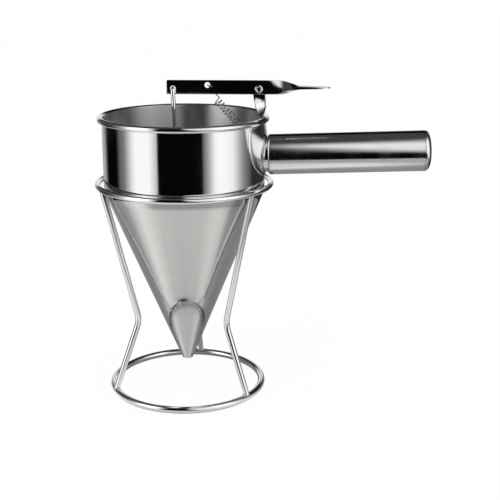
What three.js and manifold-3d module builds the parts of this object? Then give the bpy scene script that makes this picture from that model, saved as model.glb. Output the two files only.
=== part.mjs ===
// Dispensing funnel with a lever-lifted stopper, standing in a three-legged wire frame.
// Millimetres, +Z up. The handle points along +X, and the lever works in the XZ plane.
// The origin lies on the standing surface, under the middle of the whole assembly.
import * as THREE from "three";
import * as BufferGeometryUtils from "three/addons/utils/BufferGeometryUtils.js";
import Module from "manifold-3d";

const wasm = await Module();
wasm.setup();

// Fits between pieces
const seam = 0.3;
const pivotClearance = 0.1;
const overrun = 2;

// Round bodies
const bowlSegments = 64;
const handleSegments = 40;
const holeSegments = 24;

// Funnel: a rolled-rim bowl over a plain cone, lapped behind the stand's top ring
const bowlRadius = 57.6;
const sheet = 0.8;
const wallDepth = 51.6;
const rimCurlRadius = 1.7;
const rimCurlTurn = THREE.MathUtils.degToRad(290);
const rimCurlSteps = 9;
const cornerRadius = 25;
const cornerSteps = 3;
const lapShare = 0.27;
const lapLength = 2.4;
const coneDepth = 129.7;
const tipHeight = 20.9;
const tipRadius = 3.95;
const tipRounding = 0.35;

// Stand: two wire rings on three bent legs
const topRingWire = 4.2;
const topRingRise = 4.9;
const topRingOverhang = 1.333;
const topRingSides = 10;
const baseRingRadius = 55.65;
const baseRingWire = 5;
const baseRingSides = 12;
const ringSegments = 64;
const legWire = 4.4;
const legSides = 10;
const legBendSteps = 6;
const legAngles = {
  front_right: THREE.MathUtils.degToRad(-35),
  back: THREE.MathUtils.degToRad(85),
  front_left: THREE.MathUtils.degToRad(205),
};
const legKneeRadius = 37;
const legKneeHeight = 55.3;
const legBend = 20;
const legFootOverhang = 0.35;
const legTopBite = 0.9;
const legFootBite = 0.7;

// Handle: a capped tube on a short neck, held by a pillowed saddle on the bowl's wall
const handleDrop = 26.05;
const handleRise = THREE.MathUtils.degToRad(1.75);
const handleStart = 2.4;
const handleLength = 115;
const handleRadius = 14.4;
const handleWall = 0.9;
const handleBore = 10;
const frontCapDepth = 1.6;
const endCapDepth = 5;
const endCapRoundness = 2.8;
const capSkirt = 6;
const capSteps = 6;
const neckRadius = 12.6;
const neckStudLength = 5;
const saddleTopDrop = 2.6;
const saddleShoulder = 7.6;
const saddleSkirt = 30;
const saddleHalfWidth = 32.8;
const saddleTopPower = 5;
const saddleBottomPower = 2.4;
const saddleEdge = 0.55;
const saddleRise = 1.7;
const saddleRings = 7;
const saddleSegments = 40;

// Lever: a flat strip, set on edge and twisted flat into a thumb tab
const pivotInset = 4.3;
const pivotRise = 19.9;
const pivotMargin = 3.5;
const leverDepth = 9.8;
const leverSheet = 1.8;
const leverFrontLength = 4.7;
const leverFrontRound = 1.1;
const leverFrontShare = 0.76;
const leverTailLength = 6.2;
const twistLength = 24;
const twistSteps = 14;
const tabLength = 10.5;
const tabRound = 9.2;
const tabHalfWidth = 5;
const tabTipSheet = 0.8;
const tabSteps = 5;
const rodHoleX = -6.9;
const rodHoleMargin = 4;
const rodHoleClearance = 0.4;
const springHoleLength = 36;
const springHoleMargin = 3.4;
const springHoleRadius = 2;

// Pivot rivet: a hollow eyelet with both ends rolled over
const rivetRadius = 1.95;
const rivetBore = 2.6;
const rivetHeadRadius = 2.8;
const rivetHeadHeight = 0.9;
const rivetHeadGap = 0.2;

// Bracket: a flat strip beside the lever, twisted onto the bowl's inner wall
const bracketWidth = 8.4;
const bracketSheet = 1.5;
const bracketGap = 0.3;
const bracketTopSteps = 5;
const bracketLean = 1.5;
const bracketLeanDrop = 16.1;
const bracketTwistDrop = 3.5;
const bracketTwistDepth = 1.2;
const bracketTwistEasing = 1.35;
const bracketTwistSteps = 14;
const bracketWallDepth = 4.2;
const bracketDepth = 18.2;
const lugReach = 8;
const lugBend = 1.6;
const lugBendSteps = 3;
const lugEndRound = 1.4;
const lugEndShare = 0.6;
const lugHoleRadius = 1.5;

// Pull rod, bent into the lever's front hole, and the stopper
const rodWire = 3.2;
const rodSides = 16;
const rodSetback = 1.6;
const rodBend = 2;
const rodBendSteps = 6;
const rodTail = 1.8;
const plugSetback = 3.7;
const plugHeight = 4.2;
const plugChamfer = 0.7;
const plugNeckHeight = 2;
const plugNeckWall = 1.1;
const plugBoreClearance = 0.3;

// Return spring: an open-wound pull spring with a hook at each end
const springWire = 0.8;
const springRadius = 2.25;
const springTurns = 13;
const springLead = 12;
const springFoot = 6.4;
const springSides = 5;
const springStepsPerTurn = 8;
const springHookBend = 1.1;
const springHookSteps = 3;
const springTail = 3.3;
const springTailDrop = 1.2;
const springKink = 0.9;

// Sizes of the funnel and the stand that follow from the ones above
const cornerHeight = tipHeight + coneDepth;
const rimHeight = cornerHeight + wallDepth;
const coneSlope = (bowlRadius - tipRadius) / coneDepth;
const coneAngle = Math.atan(coneSlope);
const cornerStartHeight = cornerHeight + cornerRadius * Math.tan(coneAngle / 2);
const cornerCentreRadius = bowlRadius - cornerRadius;
const lapAngle = coneAngle * lapShare;
const bowlBore = bowlRadius - sheet;
const topRingHeight = cornerHeight + topRingRise;
const legTopHeight = topRingHeight - topRingWire / 2 + legTopBite;
const legTopRadius = legKneeRadius + (legTopHeight - legKneeHeight) * Math.tan(legLean());
const topRingRadius = legTopRadius + topRingOverhang;

// Sizes of the handle and the lever that follow
const handleHeight = rimHeight - handleDrop;
const saddleTopHeight = rimHeight - saddleTopDrop;
const saddleWideHeight = saddleTopHeight - saddleShoulder;
const saddleBottomHeight = saddleWideHeight - saddleSkirt;
const pivotX = bowlRadius - pivotInset;
const pivotHeight = rimHeight + pivotRise;
const leverBottom = pivotHeight - pivotMargin;
const leverMiddle = leverBottom + leverDepth / 2;
const leverFront = rodHoleX - leverFrontLength;
const twistStart = pivotX + leverTailLength;
const twistEnd = twistStart + twistLength;
const tabWide = twistEnd + tabLength;
const tabEnd = tabWide + tabRound;
const rodHoleHeight = leverBottom + rodHoleMargin;
const rodHoleRadius = rodWire / 2 + rodHoleClearance;
const springHoleX = pivotX - springHoleLength;
const springHoleHeight = leverBottom + leverDepth - springHoleMargin;
const capSkirtRadius = handleRadius - handleWall - seam;
const capSkirtBore = capSkirtRadius - handleWall;
const endCapStart = handleStart + handleLength - endCapDepth;

// Sizes of the bracket, the rod and the stopper that follow
const bracketY = leverSheet / 2 + bracketGap + bracketSheet / 2;
const bracketLeanHeight = pivotHeight - bracketLeanDrop;
const bracketTwistTop = pivotHeight - bracketTwistDrop;
const bracketTwistBottom = rimHeight - bracketTwistDepth;
const bracketWallHeight = rimHeight - bracketWallDepth;
const bracketEndHeight = rimHeight - bracketDepth;
const webBack = Math.sqrt(bowlBore ** 2 - (bracketY + bracketWidth / 2) ** 2) - seam;
const webX = webBack - bracketSheet / 2;
const lugTopHeight = bracketEndHeight - lugBend;
const lugHoleX = webX - lugReach + lugEndRound + lugHoleRadius;
const plugBottomHeight = tipHeight + plugSetback;
const rodY = leverSheet / 2 + 2 * seam + rodWire / 2;
const rodTop = new THREE.Vector3(rodHoleX, -rodY, rodHoleHeight);
const rodEnd = new THREE.Vector3(0, 0, plugBottomHeight + rodSetback);

// Steel finishes
const polished = { color: 0xc9cbcc, roughness: 0.12, metalness: 1 };
const satin = { color: 0xb4b4b0, roughness: 0.38, metalness: 1 };
const chrome = { color: 0xd6d8da, roughness: 0.08, metalness: 1 };
const springSteel = { color: 0x9c9ea0, roughness: 0.3, metalness: 1 };

function signedVolume(geometry) {
  const corners = [0, 1, 2].map(() => new THREE.Vector3());
  let volume = 0;
  for (let i = 0; i < geometry.index.count; i += 3) {
    corners.forEach((corner, k) => {
      corner.fromBufferAttribute(geometry.attributes.position, geometry.index.getX(i + k));
    });
    volume += corners[0].dot(corners[1].clone().cross(corners[2])) / 6;
  }
  return volume;
}

// Shares the vertices of neighbouring faces and turns all faces outwards
function closed(geometry) {
  geometry.deleteAttribute("normal");
  geometry.deleteAttribute("uv");
  const merged = BufferGeometryUtils.mergeVertices(geometry);
  const kept = [];
  for (let i = 0; i < merged.index.count; i += 3) {
    const face = [0, 1, 2].map((k) => merged.index.getX(i + k));
    if (new Set(face).size === 3) kept.push(...face);
  }
  merged.setIndex(kept);
  if (signedVolume(merged) < 0) merged.setIndex(kept.reverse());
  return merged;
}

function toSolid(geometry) {
  const body = closed(geometry);
  return new wasm.Manifold(new wasm.Mesh({
    numProp: 3,
    vertProperties: Float32Array.from(body.attributes.position.array),
    triVerts: Uint32Array.from(body.index.array),
  }));
}

function toGeometry(solid) {
  const mesh = solid.getMesh();
  const geometry = new THREE.BufferGeometry();
  geometry.setAttribute("position", new THREE.BufferAttribute(mesh.vertProperties, 3));
  geometry.setIndex(new THREE.BufferAttribute(mesh.triVerts, 1));
  return geometry;
}

// Body of revolution about Z from a profile of [radius, height] pairs
function turned(profile, segments) {
  const points = profile.map(([radius, height]) => new THREE.Vector2(radius, height));
  return new THREE.LatheGeometry(points, segments).rotateX(Math.PI / 2);
}

function turnedClosed(profile, segments) {
  return turned([...profile, profile[0]], segments);
}

// Points of an arc in a plane, from one angle to another
function arc(centreA, centreB, radius, from, to, steps) {
  return Array.from({ length: steps + 1 }, (_, i) => {
    const angle = from + ((to - from) * i) / steps;
    return [centreA + radius * Math.cos(angle), centreB + radius * Math.sin(angle)];
  });
}

// Closed body through rings of equally many points, each end closed by a fan
function loft(rings) {
  const count = rings[0].length;
  const places = rings.flat().flatMap((point) => point.toArray());
  const faces = [];
  for (let r = 0; r < rings.length - 1; r += 1) {
    for (let i = 0; i < count; i += 1) {
      const a = r * count + i;
      const b = r * count + ((i + 1) % count);
      faces.push(a, b, a + count, b, b + count, a + count);
    }
  }
  const last = (rings.length - 1) * count;
  for (let i = 1; i < count - 1; i += 1) {
    faces.push(0, i + 1, i, last, last + i, last + i + 1);
  }
  const geometry = new THREE.BufferGeometry();
  geometry.setAttribute("position", new THREE.Float32BufferAttribute(places, 3));
  geometry.setIndex(faces);
  return geometry;
}

function drillY(radius, x, z, length) {
  const drill = new THREE.CylinderGeometry(radius, radius, length, holeSegments);
  return toSolid(drill.translate(x, 0, z));
}

// A path through given points, with one cross-section at each point
class WirePath extends THREE.Curve {
  constructor(points) {
    super();
    this.points = points;
  }

  getPoint(t, target = new THREE.Vector3()) {
    const place = THREE.MathUtils.clamp(t, 0, 1) * (this.points.length - 1);
    const index = Math.min(Math.floor(place + Number.EPSILON), this.points.length - 2);
    return target.lerpVectors(this.points[index], this.points[index + 1], place - index);
  }

  getPointAt(u, target) {
    return this.getPoint(u, target);
  }

  getTangentAt(u, target = new THREE.Vector3()) {
    const index = Math.round(u * (this.points.length - 1));
    const here = this.points[index];
    const before = this.points[Math.max(index - 1, 0)];
    const after = this.points[Math.min(index + 1, this.points.length - 1)];
    const back = here.clone().sub(before).normalize();
    const ahead = after.clone().sub(here).normalize();
    return target.addVectors(back, ahead).normalize();
  }
}

function wire(points, diameter, sides) {
  const section = Array.from({ length: sides }, (_, i) => {
    const angle = (2 * Math.PI * i) / sides;
    return new THREE.Vector2(Math.cos(angle), Math.sin(angle)).multiplyScalar(diameter / 2);
  });
  return new THREE.ExtrudeGeometry(new THREE.Shape(section), {
    steps: points.length - 1,
    extrudePath: new WirePath(points),
  });
}

// Straight runs through the corners, each corner rounded by its own bend radius
function bentRun(corners, bends, steps) {
  const points = [corners[0].clone()];
  for (let i = 1; i < corners.length - 1; i += 1) {
    const back = corners[i - 1].clone().sub(corners[i]).normalize();
    const ahead = corners[i + 1].clone().sub(corners[i]).normalize();
    const half = back.angleTo(ahead) / 2;
    const bend = bends[i - 1];
    const middle = back.clone().add(ahead).normalize();
    const centre = corners[i].clone().addScaledVector(middle, bend / Math.sin(half));
    const from = corners[i].clone().addScaledVector(back, bend / Math.tan(half)).sub(centre);
    const axis = ahead.clone().cross(back).normalize();
    for (let k = 0; k <= steps; k += 1) {
      const turn = ((Math.PI - 2 * half) * k) / steps;
      points.push(from.clone().applyAxisAngle(axis, turn).add(centre));
    }
  }
  points.push(corners[corners.length - 1].clone());
  return points;
}

function straightRod(from, to, diameter) {
  const along = to.clone().sub(from);
  const rod = new THREE.CylinderGeometry(diameter / 2, diameter / 2, along.length(), holeSegments);
  const turn = new THREE.Quaternion().setFromUnitVectors(
    new THREE.Vector3(0, 1, 0),
    along.clone().normalize(),
  );
  const centre = from.clone().lerp(to, 1 / 2);
  return rod.applyQuaternion(turn).translate(centre.x, centre.y, centre.z);
}

// Torus about Z whose section is a polygon, with a flat side below where asked
function wireRing(radius, diameter, height, sides, flatBelow) {
  const half = Math.PI / sides;
  const reach = flatBelow ? diameter / 2 / Math.cos(half) : diameter / 2;
  const start = flatBelow ? half - Math.PI / 2 : 0;
  const section = arc(radius, height, reach, start, start + 2 * Math.PI, sides).slice(0, -1);
  return turnedClosed(section, ringSegments);
}

function cornerArc(radius, from, to) {
  return arc(cornerCentreRadius, cornerStartHeight, radius, from, to, cornerSteps);
}

// Bowl: wall with its rim rolled outwards, ending low on its rounded corner
function bowlShell() {
  const curlCentre = bowlRadius - sheet / 2 + rimCurlRadius;
  const curl = (radius) =>
    arc(curlCentre, rimHeight, radius, Math.PI, Math.PI - rimCurlTurn, rimCurlSteps);
  return turnedClosed([
    ...cornerArc(cornerRadius, -lapAngle, 0),
    ...curl(rimCurlRadius - sheet / 2),
    ...curl(rimCurlRadius + sheet / 2).reverse(),
    ...cornerArc(cornerRadius - sheet, 0, -lapAngle),
  ], bowlSegments);
}

// Radius of the cone's inner face at a height
function coneBore(height) {
  return tipRadius + (height - tipHeight) * coneSlope - sheet / Math.cos(coneAngle);
}

// Cone: its upper edge steps in and stands as a collar inside the bowl
function funnelCone() {
  const collar = cornerRadius - sheet - seam;
  const stepAngle = lapAngle + seam / cornerRadius;
  const innerStepAngle = stepAngle + sheet / cornerRadius;
  return turnedClosed([
    [tipRadius - tipRounding, tipHeight],
    [tipRadius + tipRounding * coneSlope, tipHeight + tipRounding],
    ...cornerArc(cornerRadius, -coneAngle, -stepAngle),
    ...cornerArc(collar, -stepAngle, 0),
    [cornerCentreRadius + collar, cornerStartHeight + lapLength],
    [cornerCentreRadius + collar - sheet, cornerStartHeight + lapLength],
    ...cornerArc(collar - sheet, 0, -innerStepAngle),
    ...cornerArc(cornerRadius - sheet, -innerStepAngle - sheet / cornerRadius, -coneAngle),
    [coneBore(tipHeight), tipHeight],
  ], bowlSegments);
}

// Lean of a leg that touches the bowl's rounded corner with the seam's gap
function legLean() {
  const across = cornerCentreRadius - legKneeRadius;
  const up = cornerStartHeight - legKneeHeight;
  const offset = cornerRadius + seam + legWire / 2;
  return Math.atan2(across, up) + Math.asin(offset / Math.hypot(across, up));
}

function standLeg(angle) {
  const corners = [
    [baseRingRadius + legFootOverhang, baseRingWire - legFootBite],
    [legKneeRadius, legKneeHeight],
    [legTopRadius, legTopHeight],
  ].map(([radius, height]) => new THREE.Vector3(radius, 0, height));
  const body = toSolid(wire(bentRun(corners, [legBend], legBendSteps), legWire, legSides));
  const copes = [
    wireRing(topRingRadius, topRingWire + 2 * seam, topRingHeight, topRingSides, false),
    wireRing(baseRingRadius, baseRingWire + 2 * seam, baseRingWire / 2, baseRingSides, true),
  ];
  const fitted = copes.reduce((rest, ring) => rest.subtract(toSolid(ring)), body);
  return toGeometry(fitted).rotateZ(angle);
}

// Saddle's outline in YZ, squarer above its widest height than below
function saddleOutline() {
  const fine = saddleSegments * saddleSegments;
  const points = Array.from({ length: fine + 1 }, (_, i) => {
    const angle = Math.PI / 2 + (2 * Math.PI * i) / fine;
    const upper = Math.sin(angle) >= 0;
    const power = upper ? saddleTopPower : saddleBottomPower;
    const height = upper ? saddleShoulder : saddleSkirt;
    const shaped = (value) => Math.sign(value) * Math.abs(value) ** (2 / power);
    return new THREE.Vector2(
      saddleHalfWidth * shaped(Math.cos(angle)),
      saddleWideHeight + height * shaped(Math.sin(angle)),
    );
  });
  const lengths = [0];
  points.slice(1).forEach((point, i) => lengths.push(lengths[i] + point.distanceTo(points[i])));
  return Array.from({ length: saddleSegments }, (_, i) => {
    const wanted = (lengths[fine] * i) / saddleSegments;
    return points[lengths.findIndex((length) => length >= wanted)];
  });
}

// Saddle: a pillowed plate that follows the bowl's wall, open for the handle's neck
function handleSaddle() {
  const centre = (saddleTopHeight + saddleBottomHeight) / 2;
  const edge = saddleOutline();
  const ring = (share, offset) => edge.map(({ x: y, y: z }) => {
    const x = Math.sqrt((bowlRadius + offset) ** 2 - (y * share) ** 2);
    return new THREE.Vector3(x, y * share, centre + (z - centre) * share);
  });
  const shares = Array.from({ length: saddleRings + 1 }, (_, k) => k / saddleRings);
  const outer = shares.map((share) =>
    ring(share, seam + saddleEdge + (saddleRise - saddleEdge) * (1 - share ** 2)));
  const inner = shares.map((share) => ring(share, seam)).reverse();
  const opening = onHandle(turned([
    [0, -handleRadius],
    [neckRadius + seam, -handleRadius],
    [neckRadius + seam, handleRadius],
    [0, handleRadius],
  ], handleSegments));
  return toGeometry(toSolid(loft([...outer, ...inner])).subtract(toSolid(opening)));
}

// Handle pieces are turned about X from the bowl's wall, then tilted and lifted together
function onHandle(geometry) {
  geometry.rotateY(Math.PI / 2 - handleRise);
  return geometry.translate(bowlRadius, 0, handleHeight);
}

function handleNeck() {
  const neckEnd = handleStart - seam;
  const studRadius = handleBore / 2 - seam;
  const body = onHandle(turned([
    [0, -overrun],
    [neckRadius, -overrun],
    [neckRadius, neckEnd],
    [studRadius, neckEnd],
    [studRadius, neckEnd + neckStudLength],
    [0, neckEnd + neckStudLength],
  ], handleSegments));
  const wall = turned([
    [0, saddleBottomHeight],
    [bowlRadius + seam, saddleBottomHeight],
    [bowlRadius + seam, saddleTopHeight],
    [0, saddleTopHeight],
  ], bowlSegments);
  return toGeometry(toSolid(body).subtract(toSolid(wall)));
}

function handleFrontCap() {
  const centre = handleRadius - frontCapDepth;
  const shoulder = handleStart + frontCapDepth;
  return onHandle(turnedClosed([
    [handleBore / 2, handleStart],
    ...arc(centre, shoulder, frontCapDepth, -Math.PI / 2, 0, capSteps),
    [capSkirtRadius, shoulder],
    [capSkirtRadius, shoulder + capSkirt],
    [capSkirtBore, shoulder + capSkirt],
    [capSkirtBore, handleStart + handleWall],
    [handleBore / 2, handleStart + handleWall],
  ], handleSegments));
}

function handleTube() {
  const start = handleStart + frontCapDepth + seam;
  const end = endCapStart - seam;
  return onHandle(turnedClosed([
    [handleRadius, start],
    [handleRadius, end],
    [handleRadius - handleWall, end],
    [handleRadius - handleWall, start],
  ], handleSegments));
}

function handleEndCap() {
  const rounded = (radius, depth) => Array.from({ length: capSteps + 1 }, (_, i) => {
    const angle = (Math.PI * i) / (2 * capSteps);
    const reach = i < capSteps ? Math.cos(angle) : 0;
    return [
      radius * reach ** (2 / endCapRoundness),
      endCapStart + depth * Math.sin(angle) ** (2 / endCapRoundness),
    ];
  });
  return onHandle(turned([
    ...rounded(capSkirtBore, endCapDepth - handleWall).reverse(),
    [capSkirtBore, endCapStart - capSkirt],
    [capSkirtRadius, endCapStart - capSkirt],
    [capSkirtRadius, endCapStart],
    ...rounded(handleRadius, endCapDepth),
  ], handleSegments));
}

// Rectangle across a strip, given by its directions along the width and the thickness
function stripRing(centre, wide, thick, halfWidth, halfSheet) {
  return [[-1, -1], [0, -1], [1, -1], [1, 1], [0, 1], [-1, 1]].map(([a, b]) =>
    centre.clone()
      .addScaledVector(wide, a * halfWidth)
      .addScaledVector(thick, b * halfSheet));
}

// Lever stations: place along X, half width and thickness
function leverStations() {
  const half = leverDepth / 2;
  const tabSheet = (leverSheet + tabTipSheet) / 2;
  const stations = [
    [leverFront, half * leverFrontShare, leverSheet],
    [leverFront + leverFrontRound / 4, (half * (1 + leverFrontShare)) / 2, leverSheet],
    [leverFront + leverFrontRound, half, leverSheet],
  ];
  for (let i = 0; i <= twistSteps; i += 1) {
    stations.push([THREE.MathUtils.lerp(twistStart, twistEnd, i / twistSteps), half, leverSheet]);
  }
  stations.push([tabWide, tabHalfWidth, tabSheet]);
  const lastAngle = (Math.PI * tabSteps) / (2 * tabSteps + 1);
  for (let i = 1; i <= tabSteps; i += 1) {
    const angle = (lastAngle * i) / tabSteps;
    const reach = Math.sin(angle) / Math.sin(lastAngle);
    stations.push([
      THREE.MathUtils.lerp(tabWide, tabEnd, reach),
      tabHalfWidth * Math.cos(angle),
      THREE.MathUtils.lerp(tabSheet, tabTipSheet, reach),
    ]);
  }
  return stations;
}

function leverBody() {
  const strip = toSolid(loft(leverStations().map(([x, halfWidth, thickness]) => {
    const angle = (Math.PI / 2) * THREE.MathUtils.smoothstep(x, twistStart, twistEnd);
    const centre = new THREE.Vector3(x, 0, leverMiddle);
    const wide = new THREE.Vector3(0, Math.sin(angle), Math.cos(angle));
    const thick = new THREE.Vector3(0, -Math.cos(angle), Math.sin(angle));
    return stripRing(centre, wide, thick, halfWidth, thickness / 2);
  })));
  const through = 2 * leverSheet;
  const holes = [
    drillY(rivetRadius + pivotClearance, pivotX, pivotHeight, through),
    drillY(rodHoleRadius, rodHoleX, rodHoleHeight, through),
    drillY(springHoleRadius, springHoleX, springHoleHeight, through),
  ];
  return toGeometry(holes.reduce((rest, hole) => rest.subtract(hole), strip));
}

function pivotRivet() {
  const near = -leverSheet / 2 - rivetHeadGap;
  const far = bracketY + bracketSheet / 2 + rivetHeadGap;
  const bore = rivetBore / 2;
  const head = [
    [rivetRadius, 0],
    [rivetHeadRadius, 0],
    [rivetHeadRadius, rivetHeadHeight / 3],
    [(rivetRadius + rivetHeadRadius) / 2, rivetHeadHeight],
    [(bore + rivetRadius) / 2, rivetHeadHeight],
    [bore, rivetHeadHeight / 2],
  ];
  const farHead = head.map(([radius, height]) => [radius, far + height]);
  const nearHead = head.map(([radius, height]) => [radius, near - height]).reverse();
  const body = turnedClosed([...farHead, ...nearHead], holeSegments);
  return body.rotateX(-Math.PI / 2).translate(pivotX, 0, pivotHeight);
}

// Upright bracket stations: place along X, height, half width and turn
function bracketStations() {
  const half = bracketWidth / 2;
  const stations = [];
  for (let i = 0; i < bracketTopSteps; i += 1) {
    const angle = (Math.PI * (3 * i + 1)) / (6 * bracketTopSteps);
    stations.push([pivotX, pivotHeight + half * Math.cos(angle), half * Math.sin(angle), 0]);
  }
  stations.push([pivotX, pivotHeight, half, 0]);
  for (let i = 0; i <= bracketTwistSteps; i += 1) {
    const share = i / bracketTwistSteps;
    const z = THREE.MathUtils.lerp(bracketTwistTop, bracketTwistBottom, share);
    const angle = (Math.PI / 2) * share ** bracketTwistEasing;
    const lean = bracketLean * THREE.MathUtils.smoothstep(-z, -pivotHeight, -bracketLeanHeight);
    const drift = THREE.MathUtils.smoothstep(-z, -rimHeight, -bracketWallHeight);
    stations.push([THREE.MathUtils.lerp(pivotX + lean, webX, drift), z, half, angle]);
  }
  stations.push([webX, bracketWallHeight, half, Math.PI / 2]);
  return stations;
}

function leverBracket() {
  const rings = bracketStations().map(([x, z, halfWidth, angle]) => stripRing(
    new THREE.Vector3(x, bracketY, z),
    new THREE.Vector3(Math.cos(angle), Math.sin(angle), 0),
    new THREE.Vector3(-Math.sin(angle), Math.cos(angle), 0),
    halfWidth,
    bracketSheet / 2,
  ));
  const wide = new THREE.Vector3(0, 1, 0);
  const bendRadius = lugBend + bracketSheet / 2;
  const bendCentre = new THREE.Vector3(webX - bendRadius, bracketY, bracketEndHeight);
  for (let i = 0; i <= lugBendSteps; i += 1) {
    const turn = (Math.PI * i) / (2 * lugBendSteps);
    const inwards = new THREE.Vector3(-Math.cos(turn), 0, Math.sin(turn));
    const centre = bendCentre.clone().addScaledVector(inwards, -bendRadius);
    rings.push(stripRing(centre, wide, inwards, bracketWidth / 2, bracketSheet / 2));
  }
  const lugEnd = webX - lugReach;
  [[lugEnd + lugEndRound, 1], [lugEnd, lugEndShare]].forEach(([x, share]) => {
    const centre = new THREE.Vector3(x, bracketY, lugTopHeight - bracketSheet / 2);
    const up = new THREE.Vector3(0, 0, 1);
    rings.push(stripRing(centre, wide, up, (bracketWidth * share) / 2, bracketSheet / 2));
  });
  const pin = drillY(rivetRadius + pivotClearance, pivotX, pivotHeight, bracketWidth);
  const above = new THREE.Vector3(lugHoleX, bracketY, lugTopHeight + bracketSheet);
  const below = above.clone().setZ(lugTopHeight - 2 * bracketSheet);
  const eye = toSolid(straightRod(above, below, 2 * lugHoleRadius));
  return toGeometry(toSolid(loft(rings)).subtract(pin).subtract(eye));
}

// Pull rod: one wire beside the lever, its top bent through the front hole
function pullRod() {
  const tail = rodTop.clone().setY(leverSheet / 2 + rodTail);
  return wire(bentRun([rodEnd, rodTop, tail], [rodBend], rodBendSteps), rodWire, rodSides);
}

// Stopper: a blunt cone that fits the funnel's tip, bored along the rod
function stopperPlug() {
  const gap = seam / Math.cos(coneAngle);
  const top = plugBottomHeight + plugHeight;
  const neck = rodWire / 2 + plugBoreClearance + plugNeckWall;
  const blank = toSolid(turned([
    [0, plugBottomHeight],
    [coneBore(plugBottomHeight) - gap - plugChamfer / 2, plugBottomHeight],
    [coneBore(plugBottomHeight + plugChamfer) - gap, plugBottomHeight + plugChamfer],
    [coneBore(top - plugChamfer) - gap, top - plugChamfer],
    [coneBore(top - plugChamfer) - gap - plugChamfer, top],
    [neck, top],
    [neck, top + plugNeckHeight],
    [0, top + plugNeckHeight],
  ], holeSegments));
  const past = rodEnd.clone().sub(rodTop).setLength(seam);
  const bore = straightRod(rodTop, rodEnd.clone().add(past), rodWire + 2 * plugBoreClearance);
  return toGeometry(blank.subtract(toSolid(bore)));
}

// Spring route: from a tail before the lever through its hole, down behind it along the
// coils' upper side, round the coils and through the bracket's lug
function springRoute() {
  const face = leverSheet / 2 + seam + springWire / 2;
  const farHole = new THREE.Vector3(springHoleX, face, springHoleHeight);
  const nearHole = farHole.clone().setY(-face);
  const coilTop = farHole.clone().setY(face + springKink);
  const lug = new THREE.Vector3(lugHoleX, coilTop.y, lugTopHeight + 2 * springHookBend);
  const reach = coilTop.distanceTo(lug);
  const nearward = new THREE.Vector3(0, -1, 0);
  const along = lug.clone().sub(coilTop).normalize();
  along.applyAxisAngle(nearward, Math.asin(springRadius / reach));
  const side = along.clone().applyAxisAngle(nearward, Math.PI / 2);
  const start = coilTop.clone().addScaledVector(along, springLead);
  const axisLength = Math.sqrt(reach ** 2 - springRadius ** 2);
  const springPitch = (axisLength - springLead - springFoot) / springTurns;
  const steps = springTurns * springStepsPerTurn;
  const coil = Array.from({ length: steps + 1 }, (_, i) => {
    const turn = i / springStepsPerTurn;
    return start.clone()
      .addScaledVector(along, turn * springPitch)
      .addScaledVector(side, springRadius * (Math.cos(2 * Math.PI * turn) - 1))
      .addScaledVector(nearward, -springRadius * Math.sin(2 * Math.PI * turn));
  });
  const upper = bentRun([
    nearHole.clone().add(new THREE.Vector3(springTail, 0, -springTailDrop)),
    nearHole,
    farHole,
    coil[0].clone().addScaledVector(nearward, springKink),
    coil[0],
  ], [springWire, springWire, springWire], springHookSteps);
  const below = lug.clone().setZ(lugTopHeight - bracketSheet - springHookBend);
  const lower = bentRun([
    coil[steps],
    coil[steps].clone().addScaledVector(nearward, -springKink),
    lug,
    below,
    below.clone().add(new THREE.Vector3(-springTail, 0, 0)),
  ], [springWire, springHookBend, springHookBend], springHookSteps);
  return [...upper.slice(0, -1), ...coil, ...lower.slice(1)];
}

// Least free space between two runs of the spring more than half a curl apart
function springGap(route) {
  const lengths = [0];
  route.slice(1).forEach((point, i) => lengths.push(lengths[i] + point.distanceTo(route[i])));
  let least = Infinity;
  route.forEach((point, i) => {
    for (let j = i + 1; j < route.length; j += 1) {
      if (lengths[j] - lengths[i] > Math.PI * springRadius) {
        least = Math.min(least, point.distanceTo(route[j]) - springWire);
      }
    }
  });
  return least;
}

const spring = springRoute();
console.log(`return_spring least gap to itself ${springGap(spring).toFixed(2)} mm`);

const assembly = new THREE.Group();

function addPiece(name, geometry, finish) {
  const piece = new THREE.Mesh(closed(geometry), new THREE.MeshStandardMaterial(finish));
  piece.name = name;
  assembly.add(piece);
}

const baseRing = wireRing(baseRingRadius, baseRingWire, baseRingWire / 2, baseRingSides, true);
const topRing = wireRing(topRingRadius, topRingWire, topRingHeight, topRingSides, false);
addPiece("stand_base_ring", baseRing, chrome);
addPiece("stand_top_ring", topRing, chrome);
Object.entries(legAngles).forEach(([place, angle]) => {
  addPiece(`stand_leg_${place}`, standLeg(angle), chrome);
});
addPiece("bowl_shell", bowlShell(), polished);
addPiece("funnel_cone", funnelCone(), satin);
addPiece("handle_saddle", handleSaddle(), polished);
addPiece("handle_neck", handleNeck(), polished);
addPiece("handle_front_cap", handleFrontCap(), polished);
addPiece("handle_tube", handleTube(), polished);
addPiece("handle_end_cap", handleEndCap(), polished);
addPiece("lever_bracket", leverBracket(), polished);
addPiece("lever", leverBody(), polished);
addPiece("pivot_rivet", pivotRivet(), chrome);
addPiece("return_spring", wire(spring, springWire, springSides), springSteel);
addPiece("pull_rod", pullRod(), chrome);
addPiece("stopper_plug", stopperPlug(), satin);

// Puts the origin under the middle of the whole assembly
const middle = new THREE.Box3().setFromObject(assembly).getCenter(new THREE.Vector3());
assembly.position.x = -middle.x;
console.log(`funnel axis at x ${(-middle.x).toFixed(4)} mm`);
console.log(`lug hole at ${lugHoleX.toFixed(2)}, ${bracketY}, ${lugTopHeight.toFixed(2)} mm`);

export default assembly;
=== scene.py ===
"""Looks of the dispensing funnel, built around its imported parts."""

import math

import bpy
from mathutils import Matrix, Vector


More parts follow.
